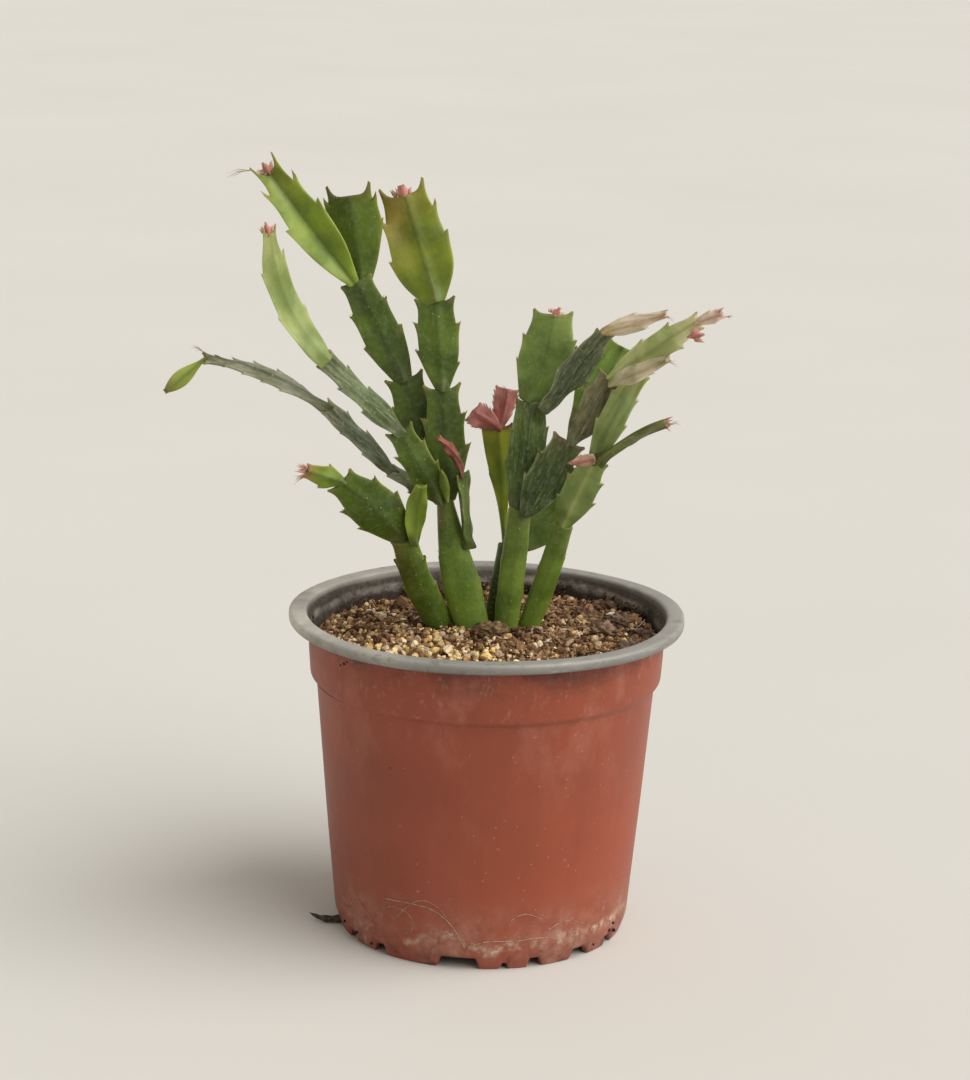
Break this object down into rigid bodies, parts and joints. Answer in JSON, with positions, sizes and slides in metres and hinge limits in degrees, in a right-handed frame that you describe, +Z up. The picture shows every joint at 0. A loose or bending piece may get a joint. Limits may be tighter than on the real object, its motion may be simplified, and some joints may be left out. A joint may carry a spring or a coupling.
{
  "type": "potted christmas cactus",
  "caption": "Young christmas cactus with flat toothed stem pads in forked, arching chains, rooted in a round plastic nursery pot with a rolled lip.",
  "frame": {"origin": "middle of the underside of the bounding box, level with the pot's foot; the pot's axis is 15.2 mm from it along +X", "axes": "+Z up along the pot's axis, -Y towards the viewer, +X to the viewer's right"},
  "size_m": [0.1748, 0.13, 0.2557],
  "materials": {
    "pot_plastic": "dusty terracotta-coloured plastic outside, grey at the lip and inside",
    "potting_soil": "loose dark brown peat with fibres",
    "grit": "cream and yellow crushed grit",
    "bark": "pale wood chips",
    "dry_root": "dark dried root",
    "dark_green": "waxy dark green, old pads",
    "leaf_green": "waxy mid green",
    "young_green": "glossy yellow-green, young pads",
    "grey_green": "dull grey-green, wrinkled pads",
    "dry_beige": "dry papery beige and pink",
    "pink": "pink to red buds and leaflets"
  },
  "bodies": {
    "root": {"pot": "pot_plastic", "soil": "potting_soil", "grit": "grit", "bark_chip_1": "bark", "bark_chip_2": "bark", "bark_chip_3": "bark", "soil_clod": "potting_soil", "root_scrap": "dry_root", "stem_a": "leaf_green", "pad_a1": "dark_green", "pad_a2": "leaf_green", "young_pad_a3": "young_green", "stem_b": "leaf_green", "pad_b1a": "grey_green", "pad_b1b": "grey_green", "pad_b1c": "grey_green", "bud_b1d": "young_green", "pad_b2a": "dark_green", "pad_b2b": "grey_green", "pad_b2c": "young_green", "pad_b3a": "dark_green", "pad_b3b": "dark_green", "pad_b3c": "leaf_green", "pad_b3d": "young_green", "pad_b4a": "dark_green", "pad_b4b": "dark_green", "pad_b4c": "young_green", "pad_b5": "dark_green", "bud_b6": "pink", "young_pad_b7": "young_green", "stem_c": "dark_green", "pad_c1": "young_green", "pink_leaf_c2": "pink", "pink_leaf_c3": "pink", "pad_c4": "leaf_green", "stem_d": "leaf_green", "pad_d1": "dark_green", "pad_d2": "leaf_green", "pad_d3": "grey_green", "dry_tip_d4": "dry_beige", "pad_d5": "dark_green", "pad_d6": "grey_green", "pad_d7": "leaf_green", "pad_d8": "young_green", "young_pad_d9": "dry_beige", "dry_pad_d10": "dry_beige", "stem_e": "leaf_green", "pad_e1": "leaf_green", "pad_e2": "young_green", "pad_e3": "dark_green", "pink_leaf_e4": "pink", "bud_b2": "pink", "bud_b3": "pink", "bud_b4": "pink", "bud_d2": "pink", "bud_d8": "pink"}
  },
  "joints": []
}
